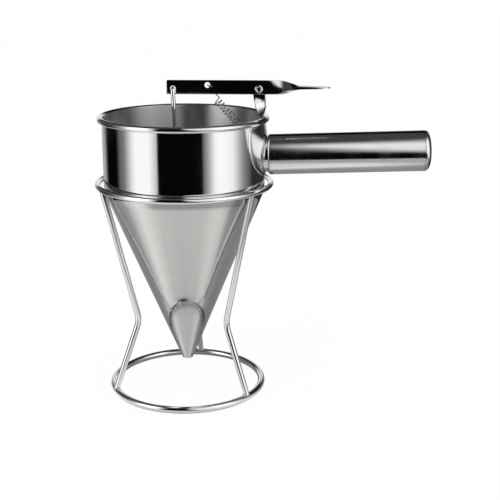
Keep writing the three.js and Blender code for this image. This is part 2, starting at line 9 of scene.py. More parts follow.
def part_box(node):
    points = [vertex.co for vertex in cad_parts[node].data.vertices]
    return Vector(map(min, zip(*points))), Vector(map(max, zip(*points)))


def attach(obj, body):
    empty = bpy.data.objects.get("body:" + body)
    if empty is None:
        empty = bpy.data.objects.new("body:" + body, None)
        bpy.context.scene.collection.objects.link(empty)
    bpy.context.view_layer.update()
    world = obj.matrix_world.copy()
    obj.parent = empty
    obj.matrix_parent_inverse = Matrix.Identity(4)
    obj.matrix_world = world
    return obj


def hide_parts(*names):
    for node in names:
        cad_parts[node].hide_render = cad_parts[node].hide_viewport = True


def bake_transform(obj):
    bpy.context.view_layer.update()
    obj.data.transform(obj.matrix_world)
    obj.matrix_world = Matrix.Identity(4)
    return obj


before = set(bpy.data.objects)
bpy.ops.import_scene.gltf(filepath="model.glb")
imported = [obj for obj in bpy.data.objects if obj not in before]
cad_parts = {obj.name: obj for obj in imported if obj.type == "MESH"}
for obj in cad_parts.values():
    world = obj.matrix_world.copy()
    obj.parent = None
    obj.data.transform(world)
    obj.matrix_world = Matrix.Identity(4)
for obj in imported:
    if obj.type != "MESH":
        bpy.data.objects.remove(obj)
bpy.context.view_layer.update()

MM = 0.001
WELD_DOUBLES = 1e-6

# The funnel's own axis stands where the bowl's box has its middle
bowl_low, bowl_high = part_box("bowl_shell")
AXIS_X = (bowl_low.x + bowl_high.x) / 2 / MM

# Fits and sheet, in mm
SEAM = 0.3
SHEET = 0.8

# Bowl and cone, in mm from the funnel's axis
BOWL_RADIUS = 57.6
RIM_HEIGHT = 202.2
CURL_RADIUS = 1.7
CURL_TURN = math.radians(290)
CORNER_RADIUS = 25
CORNER_X = BOWL_RADIUS - CORNER_RADIUS
TIP_HEIGHT = 20.9
TIP_RADIUS = 3.95
TIP_ROUNDING = 0.35
CONE_DEPTH = 129.7
CONE_SLOPE = (BOWL_RADIUS - TIP_RADIUS) / CONE_DEPTH
CONE_ANGLE = math.atan(CONE_SLOPE)
CORNER_Z = TIP_HEIGHT + CONE_DEPTH + CORNER_RADIUS * math.tan(CONE_ANGLE / 2)
LAP_ANGLE = CONE_ANGLE * 0.27
LAP_LENGTH = 2.4

# Stand: a ring is its radius, its wire and the height of its wire's middle
TOP_RING = (61.9, 4.2, 155.5)
BASE_RING = (55.65, 5.0, 2.5)
LEG_WIRE = 4.4
LEG_ANGLES = {"front_right": -35, "back": 85, "front_left": 205}
KNEE_RADIUS = 37
KNEE_HEIGHT = 55.3
LEG_BEND = 20

# Handle, along its own axis from the bowl's wall
HANDLE_HEIGHT = 176.15
HANDLE_RISE = math.radians(1.75)
HANDLE_START = 2.4
HANDLE_LENGTH = 115
HANDLE_RADIUS = 14.4
HANDLE_BORE = 5
TUBE_WALL = 0.9
FRONT_DEPTH = 1.6
NECK_RADIUS = 12.6
END_DEPTH = 5
END_ROUNDNESS = 2.8
SKIRT = 6

# Plate that joins the handle to the bowl's wall, and how square it is above and below
SADDLE_TOP = 199.6
SADDLE_WIDEST_AT = 192.0
SADDLE_BOTTOM = 162.0
SADDLE_HALF = 32.8
SADDLE_POWERS = (5, 2.4)
SADDLE_LIP = 0.55
SADDLE_RISE = 1.7

# Lever and what hangs on it: the pivot is (x, z), a hole is (x, z, radius)
PIVOT = (53.3, 222.1)
ROD_HOLE = (-6.9, 222.6, 2.0)
SPRING_HOLE = (17.3, 225.0, 2.0)
LEVER_MIDDLE = 223.5
LEVER_DEPTH = 9.8
LEVER_SHEET = 1.8
LEVER_FRONT = -11.6
TWIST_FROM = 59.5
TWIST_TO = 83.5
TAB_WIDE_AT = 94.0
TAB_END = 103.2
TAB_HALF = 5
TAB_TIP = 0.8
RIVET_RADIUS = 1.95
BRACKET_WIDTH = 8.4
BRACKET_SHEET = 1.5
BRACKET_Y = LEVER_SHEET / 2 + SEAM + BRACKET_SHEET / 2
BRACKET_TWIST_TOP = 218.6
BRACKET_TWIST_FOOT = 201.0
BRACKET_EASING = 1.35
BRACKET_LEAN = 1.5
BRACKET_LEAN_FOOT = 206.0
BRACKET_FOOT_TOP = 198.0
LUG_BEND_AT = 184.0
LUG_TOP = 182.4
LUG_HOLE_X = 50.35
ROD_WIRE = 3.2
ROD_Y = LEVER_SHEET / 2 + 2 * SEAM + ROD_WIRE / 2
ROD_TOP = Vector((ROD_HOLE[0], -ROD_Y, ROD_HOLE[1]))
ROD_END = Vector((0, 0, 26.2))

# Return spring
SPRING_WIRE = 0.8
SPRING_RADIUS = 2.5
SPRING_TURNS = 13
SPRING_STRAIGHTS = (12, 6.4)
SPRING_FACE = LEVER_SHEET / 2 + SEAM + SPRING_WIRE / 2
SPRING_KINK = 0.9
SPRING_START = Vector((SPRING_HOLE[0], SPRING_FACE + SPRING_KINK, SPRING_HOLE[1]))
SPRING_LUG = Vector((LUG_HOLE_X, SPRING_START.y, LUG_TOP + 2.2))


# ---------- shaping, as at the bench ----------

def bench_clear():
    """Leaves nothing selected, so that the next operator acts on its own piece only."""
    bpy.ops.object.select_all(action="DESELECT")


def close_mesh(piece_name):
    """Merges doubles, turns the faces out, leaves edit mode and names the piece."""
    bpy.ops.mesh.select_all(action="SELECT")
    bpy.ops.mesh.remove_doubles(threshold=WELD_DOUBLES)
    bpy.ops.mesh.normals_make_consistent(inside=False)
    bpy.ops.object.mode_set(mode="OBJECT")
    piece = bpy.context.object
    piece.name = piece_name
    piece.data.name = piece_name
    return piece


def smooth(piece, angle=35):
    """Smooth shading across edges flatter than an angle in degrees."""
    bench_clear()
    piece.select_set(True)
    bpy.context.view_layer.objects.active = piece
    bpy.ops.object.shade_smooth_by_angle(angle=math.radians(angle))


def arc(centre_a, centre_b, radius, start, end, steps):
    """Points (a, b) on an arc between two angles, both ends included."""
    return [
        (
            centre_a + radius * math.cos(start + (end - start) * i / steps),
            centre_b + radius * math.sin(start + (end - start) * i / steps),
        )
        for i in range(steps + 1)
    ]


def turned(piece_name, profile, steps):
    """A profile of (radius, height) points in mm, drawn edge by edge and spun once round Z."""
    bench_clear()
    bpy.ops.mesh.primitive_plane_add(size=MM, enter_editmode=True)
    bpy.ops.mesh.merge(type="CENTER")
    bpy.ops.transform.translate(value=(profile[0][0] * MM, 0, profile[0][1] * MM))
    for (r0, z0), (r1, z1) in zip(profile, profile[1:]):
        step = ((r1 - r0) * MM, 0, (z1 - z0) * MM)
        bpy.ops.mesh.extrude_region_move(TRANSFORM_OT_translate={"value": step})
    bpy.ops.mesh.select_all(action="SELECT")
    bpy.ops.mesh.spin(steps=steps, angle=2 * math.pi, center=(0, 0, 0), axis=(0, 0, 1))
    return close_mesh(piece_name)


def set_down(piece, matrix):
    """Puts a piece made at the origin in its place, inside its mesh."""
    piece.data.transform(matrix)
    piece.data.update()
    return piece


ON_FUNNEL = Matrix.Translation((AXIS_X * MM, 0, 0))
ON_HANDLE = (
    Matrix.Translation(((AXIS_X + BOWL_RADIUS) * MM, 0, HANDLE_HEIGHT * MM))
    @ Matrix.Rotation(math.pi / 2 - HANDLE_RISE, 4, "Y")
)


def bent_run(corners, bends, steps):
    """Straight runs through the corners, each corner rounded by its own bend."""
    points = [corners[0].copy()]
    for i, bend in enumerate(bends, start=1):
        back = (corners[i - 1] - corners[i]).normalized()
        ahead = (corners[i + 1] - corners[i]).normalized()
        half = back.angle(ahead) / 2
        centre = corners[i] + (back + ahead).normalized() * (bend / math.sin(half))
        start = corners[i] + back * (bend / math.tan(half)) - centre
        axis = ahead.cross(back).normalized()
        for k in range(steps + 1):
            turn = Matrix.Rotation((math.pi - 2 * half) * k / steps, 3, axis)
            points.append(turn @ start + centre)
    points.append(corners[-1].copy())
    return points


def drawn_wire(piece_name, points, diameter, roundness=5):
    """A round wire along points given in mm, with closed ends."""
    curve = bpy.data.curves.new(piece_name, "CURVE")
    curve.dimensions = "3D"
    spline = curve.splines.new("POLY")
    spline.points.add(len(points) - 1)
    for slot, point in zip(spline.points, points):
        slot.co = (*(point * MM), 1)
    curve.bevel_depth = diameter / 2 * MM
    curve.bevel_resolution = roundness
    curve.use_fill_caps = True
    piece = bpy.data.objects.new(piece_name, curve)
    bpy.context.scene.collection.objects.link(piece)
    bench_clear()
    piece.select_set(True)
    bpy.context.view_layer.objects.active = piece
    bpy.ops.object.convert(target="MESH")
    bpy.ops.object.mode_set(mode="EDIT")
    return close_mesh(piece_name)


# ---------- funnel ----------

def corner_arc(radius, start, end, steps):
    """Part of the bowl's rounded lower corner, as points (radius, height)."""
    return arc(CORNER_X, CORNER_Z, radius, start, end, steps)


def make_bowl():
    """Wall with its rim rolled outwards, ending on its rounded lower corner."""
    centre = BOWL_RADIUS - SHEET / 2 + CURL_RADIUS

    def curl(radius):
        """One face of the rolled rim."""
        return arc(centre, RIM_HEIGHT, radius, math.pi, math.pi - CURL_TURN, 26)

    profile = [
        *corner_arc(CORNER_RADIUS, -LAP_ANGLE, 0, 6),
        *curl(CURL_RADIUS - SHEET / 2),
        *curl(CURL_RADIUS + SHEET / 2)[::-1],
        *corner_arc(CORNER_RADIUS - SHEET, 0, -LAP_ANGLE, 6),
    ]
    return set_down(turned("bowl", [*profile, profile[0]], 160), ON_FUNNEL)


def cone_bore(height):
    """Inner radius of the cone at a height."""
    return TIP_RADIUS + (height - TIP_HEIGHT) * CONE_SLOPE - SHEET / math.cos(CONE_ANGLE)


def make_cone():
    """Cone with a collar that stands inside the bowl and a rounded nose."""
    collar = CORNER_RADIUS - SHEET - SEAM / 10
    step = LAP_ANGLE + SEAM / CORNER_RADIUS / 10
    inner_step = step + SHEET / CORNER_RADIUS
    profile = [
        *arc(TIP_RADIUS - TIP_ROUNDING, TIP_HEIGHT + TIP_ROUNDING, TIP_ROUNDING,
             -math.pi / 2, -CONE_ANGLE, 5),
        *corner_arc(CORNER_RADIUS, -CONE_ANGLE, -step, 14),
        *corner_arc(collar, -step, 0, 6),
        (CORNER_X + collar, CORNER_Z + LAP_LENGTH),
        (CORNER_X + collar - SHEET / 2, CORNER_Z + LAP_LENGTH),
        *corner_arc(collar - SHEET, 0, -inner_step, 8),
        *corner_arc(CORNER_RADIUS - SHEET, -inner_step - SHEET / CORNER_RADIUS, -CONE_ANGLE, 12),
        (cone_bore(TIP_HEIGHT), TIP_HEIGHT),
    ]
    return set_down(turned("cone", [*profile, profile[0]], 160), ON_FUNNEL)


def squared(value, power):
    """A sine or cosine pushed outwards, so that a round outline becomes squarer."""
    return math.copysign(abs(value) ** (2 / power), value)


def saddle_edge(count):
    """The saddle's outline in (y, z), squarer above its widest height than below."""
    fine = 1600
    line = []
    for i in range(fine + 1):
        angle = math.pi / 2 + 2 * math.pi * i / fine
        upper = math.sin(angle) >= 0
        power = SADDLE_POWERS[0] if upper else SADDLE_POWERS[1]
        height = SADDLE_TOP - SADDLE_WIDEST_AT if upper else SADDLE_WIDEST_AT - SADDLE_BOTTOM
        line.append(Vector((
            SADDLE_HALF * squared(math.cos(angle), power),
            SADDLE_WIDEST_AT + height * squared(math.sin(angle), power),
        )))
    length = [0.0]
    for a, b in zip(line, line[1:]):
        length.append(length[-1] + (b - a).length)
    edge, k = [], 0
    for i in range(count):
        while length[k] < length[-1] * i / count:
            k += 1
        edge.append(line[k])
    return edge


def make_saddle():
    """A pillowed plate pressed over the bowl's wall, its edge rolled in to the wall."""
    middle = (SADDLE_TOP + SADDLE_BOTTOM) / 2
    count = 160
    edge = saddle_edge(count)
    rolled_from = 0.94
    inner = [0.15, 0.3, 0.5, 0.7, 0.85, 1]
    shares = [*inner, 1, 0.995, 0.985, 0.97, 0.94, 0.88, 0.8, 0.7, 0.58, 0.44, 0.3, 0.15]
    bench_clear()
    bpy.ops.mesh.primitive_circle_add(
        vertices=count, radius=shares[0], fill_type="NGON", enter_editmode=True)
    for before, after in zip(shares, shares[1:]):
        bpy.ops.mesh.extrude_region_move(TRANSFORM_OT_translate={"value": (0, 0, 1)})
        bpy.ops.transform.resize(value=(after / before,) * 2 + (1,), center_override=(0, 0, 0))
    bpy.ops.mesh.poke()
    bpy.ops.object.mode_set(mode="OBJECT")
    blank = bpy.context.object.data
    for vertex in blank.vertices:
        layer = round(vertex.co.z)
        share = min(1, math.hypot(vertex.co.x, vertex.co.y))
        turn = math.atan2(vertex.co.y, vertex.co.x) % (2 * math.pi)
        place = edge[round(turn / (2 * math.pi) * count) % count]
        y = place.x * share
        z = middle + (place.y - middle) * share
        lift = SEAM / 3
        if layer >= len(inner):
            bulge = (SADDLE_RISE - SADDLE_LIP + SEAM * 2 / 3) * (1 - share ** 2)
            past = max(0, share - rolled_from) / (1 - rolled_from)
            lift = SEAM / 3 + SADDLE_LIP * math.sqrt(max(0, 1 - past ** 2)) + bulge
        x = math.sqrt((BOWL_RADIUS + lift) ** 2 - y ** 2)
        vertex.co = ((AXIS_X + x) * MM, y * MM, z * MM)
    bpy.ops.object.mode_set(mode="EDIT")
    saddle = close_mesh("saddle")
    start, along = ON_HANDLE.translation / MM, ON_HANDLE.col[2].to_3d()
    drill_hole(saddle, NECK_RADIUS + 0.1, start, along, 30, sides=96)
    return saddle


def make_neck():
    """Short collar between the bowl's wall and the handle, cut to the wall's curve."""
    into_wall = -1.0
    end = HANDLE_START - 0.1
    profile = [(0, into_wall), (NECK_RADIUS, into_wall), (NECK_RADIUS, end), (0, end)]
    neck = set_down(turned("neck", profile, 96), ON_HANDLE)
    drill_hole(neck, BOWL_RADIUS + 0.05, (AXIS_X, 0, HANDLE_HEIGHT), (0, 0, 1), 60, sides=160)
    return neck


def make_front_cap():
    """Front of the handle: a rounded face with a bore, its skirt inside the tube."""
    centre = HANDLE_RADIUS - FRONT_DEPTH
    shoulder = HANDLE_START + FRONT_DEPTH
    inside = HANDLE_RADIUS - TUBE_WALL - SEAM
    profile = [
        (HANDLE_BORE, HANDLE_START),
        *arc(centre, shoulder, FRONT_DEPTH, -math.pi / 2, 0, 12),
        (HANDLE_RADIUS, shoulder + SEAM / 3),
        (inside, shoulder + SEAM / 3),
        (inside, shoulder + SKIRT),
        (inside - TUBE_WALL, shoulder + SKIRT),
        (inside - TUBE_WALL, HANDLE_START + TUBE_WALL),
        (HANDLE_BORE, HANDLE_START + TUBE_WALL),
    ]
    return set_down(turned("front_cap", [*profile, profile[0]], 128), ON_HANDLE)


def make_tube():
    """Drawn tube, each end broken by a hair of a chamfer at its seam."""
    start = HANDLE_START + FRONT_DEPTH + SEAM / 2
    end = HANDLE_START + HANDLE_LENGTH - END_DEPTH - SEAM / 2
    broken = 0.12
    profile = [
        (HANDLE_RADIUS - broken, start),
        (HANDLE_RADIUS, start + broken),
        (HANDLE_RADIUS, end - broken),
        (HANDLE_RADIUS - broken, end),
        (HANDLE_RADIUS - TUBE_WALL, end),
        (HANDLE_RADIUS - TUBE_WALL, start),
    ]
    return set_down(turned("handle_grip", [*profile, profile[0]], 128), ON_HANDLE)


def make_end_cap():
    """Domed end of the handle, its skirt inside the tube."""
    start = HANDLE_START + HANDLE_LENGTH - END_DEPTH
    inside = HANDLE_RADIUS - TUBE_WALL - SEAM

    def dome(radius, depth, steps):
        """A rounded end, flatter in the middle than a sphere."""
        line = []
        for i in range(steps + 1):
            angle = math.pi / 2 * i / steps
            reach = math.cos(angle) if i < steps else 0
            line.append((radius * reach ** (2 / END_ROUNDNESS),
                         start + depth * math.sin(angle) ** (2 / END_ROUNDNESS)))
        return line

    profile = [
        *dome(inside - TUBE_WALL, END_DEPTH - TUBE_WALL, 16)[::-1],
        (inside - TUBE_WALL, start - SKIRT),
        (inside, start - SKIRT),
        (inside, start - SEAM / 4),
        *dome(HANDLE_RADIUS, END_DEPTH, 28),
    ]
    return set_down(turned("end_cap", profile, 128), ON_HANDLE)


# ---------- strips ----------

def strip_start(wide, thick, wide_axis, thick_axis, centre, edge_round=0.22):
    """The first cross-section of a flat strip: a small plate with rounded corners."""
    bench_clear()
    bpy.ops.mesh.primitive_plane_add(size=1, enter_editmode=True)
    bpy.ops.transform.resize(value=(wide * MM, thick * MM, 1))
    bpy.ops.mesh.bevel(affect="VERTICES", offset=edge_round * MM, segments=3)
    bpy.ops.mesh.select_all(action="SELECT")
    bpy.ops.object.mode_set(mode="OBJECT")
    plate = bpy.context.object
    w, t = Vector(wide_axis), Vector(thick_axis)
    turn = Matrix((w, t, w.cross(t))).transposed().to_4x4()
    set_down(plate, Matrix.Translation(Vector(centre) * MM) @ turn)
    bpy.ops.object.mode_set(mode="EDIT")


def push(step):
    """Draws the strip on by one step, in mm."""
    bpy.ops.mesh.extrude_region_move(TRANSFORM_OT_translate={"value": Vector(step) * MM})


def swing(angle, axis, centre):
    """Turns the end of the strip by the right-hand rule: with no window, rotate turns backwards."""
    bpy.ops.transform.rotate(value=-angle, orient_axis=axis, center_override=Vector(centre) * MM)


def stretch(value, centre):
    """Widens or narrows the end of the strip about a centre in mm."""
    bpy.ops.transform.resize(value=value, center_override=Vector(centre) * MM)


def drill_hole(piece, radius, centre, axis, length, sides=48):
    """A round hole cut by a drill, the drill thrown away after."""
    bench_clear()
    bpy.ops.mesh.primitive_cylinder_add(vertices=sides, radius=radius * MM, depth=length * MM)
    drill = bpy.context.object
    turn = Vector((0, 0, 1)).rotation_difference(Vector(axis)).to_matrix().to_4x4()
    set_down(drill, Matrix.Translation(Vector(centre) * MM) @ turn)
    bench_clear()
    bpy.context.view_layer.objects.active = piece
    piece.select_set(True)
    cut = piece.modifiers.new("hole", "BOOLEAN")
    cut.operation = "DIFFERENCE"
    cut.solver = "EXACT"
    cut.object = drill
    bpy.ops.object.modifier_apply(modifier=cut.name)
    bpy.data.objects.remove(drill)


def smoothstep(place, low, high):
    """0 up to low and 1 from high on, with an even ease between."""
    t = min(1, max(0, (place - low) / (high - low)))
    return t * t * (3 - 2 * t)


def make_lever():
    """A flat strip on edge, twisted flat into a thumb tab with a round, thinned end."""
    half = LEVER_DEPTH / 2
    corner_in, corner_down = 1.1, 1.05
    # Stations along X: (place, half depth, sheet) at the front corners, twist, tab and round end
    stations = []
    for i in range(4):
        angle = math.pi / 2 * i / 3
        stations.append((LEVER_FRONT + corner_in * (1 - math.cos(angle)),
                         half - corner_down * (1 - math.sin(angle)), LEVER_SHEET))
    steps = 44
    for i in range(steps + 1):
        stations.append((TWIST_FROM + (TWIST_TO - TWIST_FROM) * i / steps, half, LEVER_SHEET))
    tab = (LEVER_SHEET + TAB_TIP) / 2
    for i in range(1, 7):
        share = i / 6
        stations.append((TWIST_TO + (TAB_WIDE_AT - TWIST_TO) * share,
                         half + (TAB_HALF - half) * smoothstep(share, 0, 1),
                         LEVER_SHEET + (tab - LEVER_SHEET) * share))
    last = math.pi / 2 * 0.94
    for i in range(1, 13):
        angle = last * i / 12
        reach = math.sin(angle) / math.sin(last)
        stations.append((TAB_WIDE_AT + (TAB_END - TAB_WIDE_AT) * reach,
                         TAB_HALF * math.cos(angle), tab + (TAB_TIP - tab) * reach))
    x0, half0, thick0 = stations[0]
    strip_start(2 * half0, thick0, (0, 0, 1), (0, -1, 0), (x0, 0, LEVER_MIDDLE))
    for (xa, ha, ta), (xb, hb, tb) in zip(stations, stations[1:]):
        twist = smoothstep(xb, TWIST_FROM, TWIST_TO) - smoothstep(xa, TWIST_FROM, TWIST_TO)
        push((xb - xa, 0, 0))
        centre = (xb, 0, LEVER_MIDDLE)
        if xa < TWIST_FROM:
            stretch((1, 1, hb / ha), centre)
        elif xb > TWIST_TO:
            stretch((1, hb / ha, tb / ta), centre)
        swing(-math.pi / 2 * twist, "X", centre)
    lever = close_mesh("thumb_lever")
    for x, z, radius in ((*PIVOT, RIVET_RADIUS + 0.1), ROD_HOLE, SPRING_HOLE):
        drill_hole(lever, radius, (x, 0, z), (0, 1, 0), 4)
    return set_down(lever, ON_FUNNEL)


def make_bracket():
    """A strip beside the lever: round top, quarter turn, foot on the wall, drilled lug."""
    half = BRACKET_WIDTH / 2
    web_back = math.sqrt((BOWL_RADIUS - SHEET) ** 2 - (BRACKET_Y + half) ** 2) - SEAM / 3
    web_x = web_back - BRACKET_SHEET / 2
    # Stations down the strip: (x, z, half width, turn) at the round top, twist and foot
    stations = []
    for i in range(10):
        angle = math.pi / 2 * (i + 0.5) / 10
        stations.append((PIVOT[0], PIVOT[1] + half * math.cos(angle), half * math.sin(angle), 0))
    stations.append((PIVOT[0], PIVOT[1], half, 0))
    heights = [BRACKET_TWIST_TOP + (BRACKET_TWIST_FOOT - BRACKET_TWIST_TOP) * i / 36
               for i in range(37)]
    heights += [BRACKET_TWIST_FOOT + (BRACKET_FOOT_TOP - BRACKET_TWIST_FOOT) * i / 6
                for i in range(1, 7)]
    for i, z in enumerate(heights):
        lean = BRACKET_LEAN * smoothstep(-z, -PIVOT[1], -BRACKET_LEAN_FOOT)
        drift = smoothstep(-z, -RIM_HEIGHT, -BRACKET_FOOT_TOP)
        x = PIVOT[0] + lean + (web_x - PIVOT[0] - lean) * drift
        stations.append((x, z, half, math.pi / 2 * min(1, i / 36) ** BRACKET_EASING))
    stations.append((web_x, LUG_BEND_AT, half, math.pi / 2))
    x0, z0, half0, _ = stations[0]
    strip_start(2 * half0, BRACKET_SHEET, (1, 0, 0), (0, 1, 0), (x0, BRACKET_Y, z0), 0.2)
    for (xa, za, ha, turn_a), (xb, zb, hb, turn_b) in zip(stations, stations[1:]):
        push((xb - xa, 0, zb - za))
        centre = (xb, BRACKET_Y, zb)
        stretch((hb / ha, 1, 1), centre)
        swing(turn_b - turn_a, "Z", centre)
    bend = 1.6 + BRACKET_SHEET / 2
    for _ in range(8):
        push((0, 0, 0))
        swing(math.pi / 2 / 8, "Y", (web_x - bend, BRACKET_Y, LUG_BEND_AT))
    lug_reach, lug_nose = 8, 1.4
    push((bend - lug_reach + lug_nose, 0, 0))
    lug_z = LUG_BEND_AT - bend
    for step, narrower in ((1.0, 0.85), (0.4, 0.7)):
        push((-step, 0, 0))
        stretch((1, narrower, 1), (0, BRACKET_Y, lug_z))
    bracket = close_mesh("bracket_strip")
    drill_hole(bracket, RIVET_RADIUS + 0.1, (PIVOT[0], BRACKET_Y, PIVOT[1]), (0, 1, 0), 6)
    drill_hole(bracket, 1.5, (LUG_HOLE_X, BRACKET_Y, lug_z), (0, 0, 1), 5)
    return set_down(bracket, ON_FUNNEL)


def make_rivet():
    """An eyelet with both ends rolled over and a blind web inside."""
    near = -LEVER_SHEET / 2 - 0.05
    far = BRACKET_Y + BRACKET_SHEET / 2 + 0.05
    bore, head, height, rim, web_depth = 1.3, 2.8, 0.85, 0.15, 0.3
    middle = (bore + head) / 2
    half = (head - bore) / 2
    far_side = [(RIVET_RADIUS, far), (head, far)]
    for i in range(13):
        angle = math.pi * i / 12
        far_side.append((middle + half * math.cos(angle),
                         far + rim + (height - rim) * math.sin(angle)))
    far_side += [(bore, far - web_depth), (0, far - web_depth)]
    profile = [*far_side[::-1], *[(r, near + far - z) for r, z in far_side]]
    rivet = turned("rivet", profile, 64)
    stand_on_edge = Matrix.Rotation(-math.pi / 2, 4, "X")
    place = Matrix.Translation(((AXIS_X + PIVOT[0]) * MM, 0, PIVOT[1] * MM))
    return set_down(rivet, place @ stand_on_edge)


# ---------- rod, stopper, spring ----------

def make_rod():
    """Pull rod: one wire beside the lever, its top bent through the front hole."""
    tail = Vector((ROD_HOLE[0], LEVER_SHEET / 2 + 1.8, ROD_HOLE[1]))
    rod = drawn_wire("lift_rod", bent_run([ROD_END, ROD_TOP, tail], [2], 14), ROD_WIRE, 9)
    return set_down(rod, ON_FUNNEL)


def make_plug():
    """Blunt cone that fits the funnel's tip, with a short neck on the rod."""
    low, height, chamfer = 24.6, 4.2, 0.7
    gap = SEAM / math.cos(CONE_ANGLE)
    top = low + height
    neck = ROD_WIRE / 2 + 1.4
    profile = [
        (0, low),
        (cone_bore(low) - gap - chamfer / 2, low),
        (cone_bore(low + chamfer) - gap, low + chamfer),
        (cone_bore(top - chamfer) - gap, top - chamfer),
        (cone_bore(top - chamfer) - gap - chamfer, top),
        (neck, top),
        (neck, top + 2 - chamfer / 2),
        (neck - chamfer / 2, top + 2),
        (0, top + 2),
    ]
    plug = turned("stopper", profile, 64)
    along = (ROD_END - ROD_TOP).normalized()
    drill_hole(plug, ROD_WIRE / 2 + 0.05, ROD_END - along * 10 + along * 0.1, along, 20)
    return set_down(plug, ON_FUNNEL)


def make_spring():
    """Open-wound pull spring: a tail before the lever, through its hole, coils, lug."""
    radius, per_turn = SPRING_RADIUS, 20
    nearward = Vector((0, -1, 0))
    reach = (SPRING_LUG - SPRING_START).length
    along = (SPRING_LUG - SPRING_START).normalized()
    along = Matrix.Rotation(math.asin(radius / reach), 3, nearward) @ along
    side = Matrix.Rotation(math.pi / 2, 3, nearward) @ along
    pitch = (math.sqrt(reach ** 2 - radius ** 2) - sum(SPRING_STRAIGHTS)) / SPRING_TURNS
    start = SPRING_START + along * SPRING_STRAIGHTS[0]
    coil = []
    for i in range(SPRING_TURNS * per_turn + 1):
        turn = i / per_turn
        angle = 2 * math.pi * turn
        coil.append(start + along * (turn * pitch) + side * (radius * (math.cos(angle) - 1))
                    - nearward * (radius * math.sin(angle)))
    far_hole = Vector((SPRING_HOLE[0], SPRING_FACE, SPRING_HOLE[1]))
    near_hole = Vector((SPRING_HOLE[0], -SPRING_FACE, SPRING_HOLE[1]))
    tail = near_hole + Vector((3.3, 0, -1.2))
    upper = bent_run([tail, near_hole, far_hole, coil[0] + nearward * SPRING_KINK, coil[0]],
                     [0.8, 0.8, 0.8], 6)
    below = Vector((SPRING_LUG.x, SPRING_LUG.y, LUG_TOP - BRACKET_SHEET - 1.1))
    lower = bent_run([coil[-1], coil[-1] - nearward * SPRING_KINK, SPRING_LUG, below,
                      below + Vector((-3.3, 0, 0))], [0.8, 1.1, 1.1], 6)
    spring = drawn_wire("pull_spring", [*upper[:-1], *coil, *lower[1:]], SPRING_WIRE, 3)
    return set_down(spring, ON_FUNNEL)


# ---------- stand ----------

def make_ring(piece_name, ring, weld_angle):
    """A wire ring, butt-welded where its ends meet: a slight swelling in the wire."""
    radius, wire, height = ring
    bench_clear()
    bpy.ops.mesh.primitive_torus_add(
        major_segments=192, minor_segments=28, major_radius=radius * MM, minor_radius=wire / 2 * MM)
    piece = bpy.context.object
    weld = math.radians(weld_angle)
    for vertex in piece.data.vertices:
        turn = math.atan2(vertex.co.y, vertex.co.x)
        away = abs((turn - weld + math.pi) % (2 * math.pi) - math.pi) * radius
        middle = Vector((math.cos(turn), math.sin(turn), 0)) * radius * MM
        swell = 1 + 0.05 * math.exp(-(away / 1.2) ** 2)
        if abs(vertex.co.z) < wire / 2 * MM * 0.7:
            vertex.co = middle + (vertex.co - middle) * swell
    bpy.ops.object.mode_set(mode="EDIT")
    piece = close_mesh(piece_name)
    return set_down(piece, Matrix.Translation((AXIS_X * MM, 0, height * MM)))


def leg_top():
    """Where a leg that touches the bowl's rounded corner meets the top ring."""
    across = CORNER_X - KNEE_RADIUS
    up = CORNER_Z - KNEE_HEIGHT
    offset = CORNER_RADIUS + SEAM + LEG_WIRE / 2
    lean = math.atan2(across, up) + math.asin(offset / math.hypot(across, up))
    height = TOP_RING[2] - TOP_RING[1] / 2 + 0.9
    return KNEE_RADIUS + (height - KNEE_HEIGHT) * math.tan(lean), height


def make_legs():
    """The legs, bent once and copied round the rings, each with its own mesh."""
    top_radius, top_height = leg_top()
    corners = [
        Vector((BASE_RING[0] + 0.35, 0, BASE_RING[1] - 0.7)),
        Vector((KNEE_RADIUS, 0, KNEE_HEIGHT)),
        Vector((top_radius, 0, top_height)),
    ]
    pattern = drawn_wire("leg_pattern", bent_run(corners, [LEG_BEND], 18), LEG_WIRE, 6)
    legs = {}
    for place, angle in LEG_ANGLES.items():
        leg = bpy.data.objects.new("leg_" + place, pattern.data.copy())
        bpy.context.scene.collection.objects.link(leg)
        legs[place] = set_down(leg, ON_FUNNEL @ Matrix.Rotation(math.radians(angle), 4, "Z"))
    bpy.data.objects.remove(pattern)
    return legs


def make_weld(piece_name, centre, size, angle):
    """A small weld bead: a flattened drop with a rippled skin."""
    bench_clear()
    bpy.ops.mesh.primitive_uv_sphere_add(segments=32, ring_count=20, radius=MM, enter_editmode=True)
    bpy.ops.transform.resize(value=size)
    bpy.ops.object.mode_set(mode="OBJECT")
    bead = bpy.context.object
    for vertex in bead.data.vertices:
        ripple = 0.04 * math.sin(vertex.co.y / MM * 9) + 0.03 * math.sin(vertex.co.x / MM * 7 + 1)
        vertex.co *= 1 + ripple
    bpy.ops.object.mode_set(mode="EDIT")
    bead = close_mesh(piece_name)
    turn = Matrix.Rotation(angle, 4, "Z")
    return set_down(bead, ON_FUNNEL @ turn @ Matrix.Translation(Vector(centre) * MM))


# ---------- finishes ----------

def add_node(tree, kind, sockets=None, **settings):
    """A node with its settings, then its sockets: each fed by an output or set to a value."""
    node = tree.nodes.new(kind)
    for key, value in settings.items():
        setattr(node, key, value)
    for socket, source in (sockets or {}).items():
        if isinstance(source, bpy.types.NodeSocket):
            tree.links.new(source, node.inputs[socket])
        else:
            node.inputs[socket].default_value = source
    return node


def new_group(group_name, inputs, outputs):
    """An empty shader group with its sockets, its input node and its output node."""
    group = bpy.data.node_groups.new(group_name, "ShaderNodeTree")
    for name, kind, default in inputs:
        item = group.interface.new_socket(name=name, in_out="INPUT", socket_type=kind)
        item.default_value = default
    for name, kind in outputs:
        group.interface.new_socket(name=name, in_out="OUTPUT", socket_type=kind)
    return group, group.nodes.new("NodeGroupInput"), group.nodes.new("NodeGroupOutput")


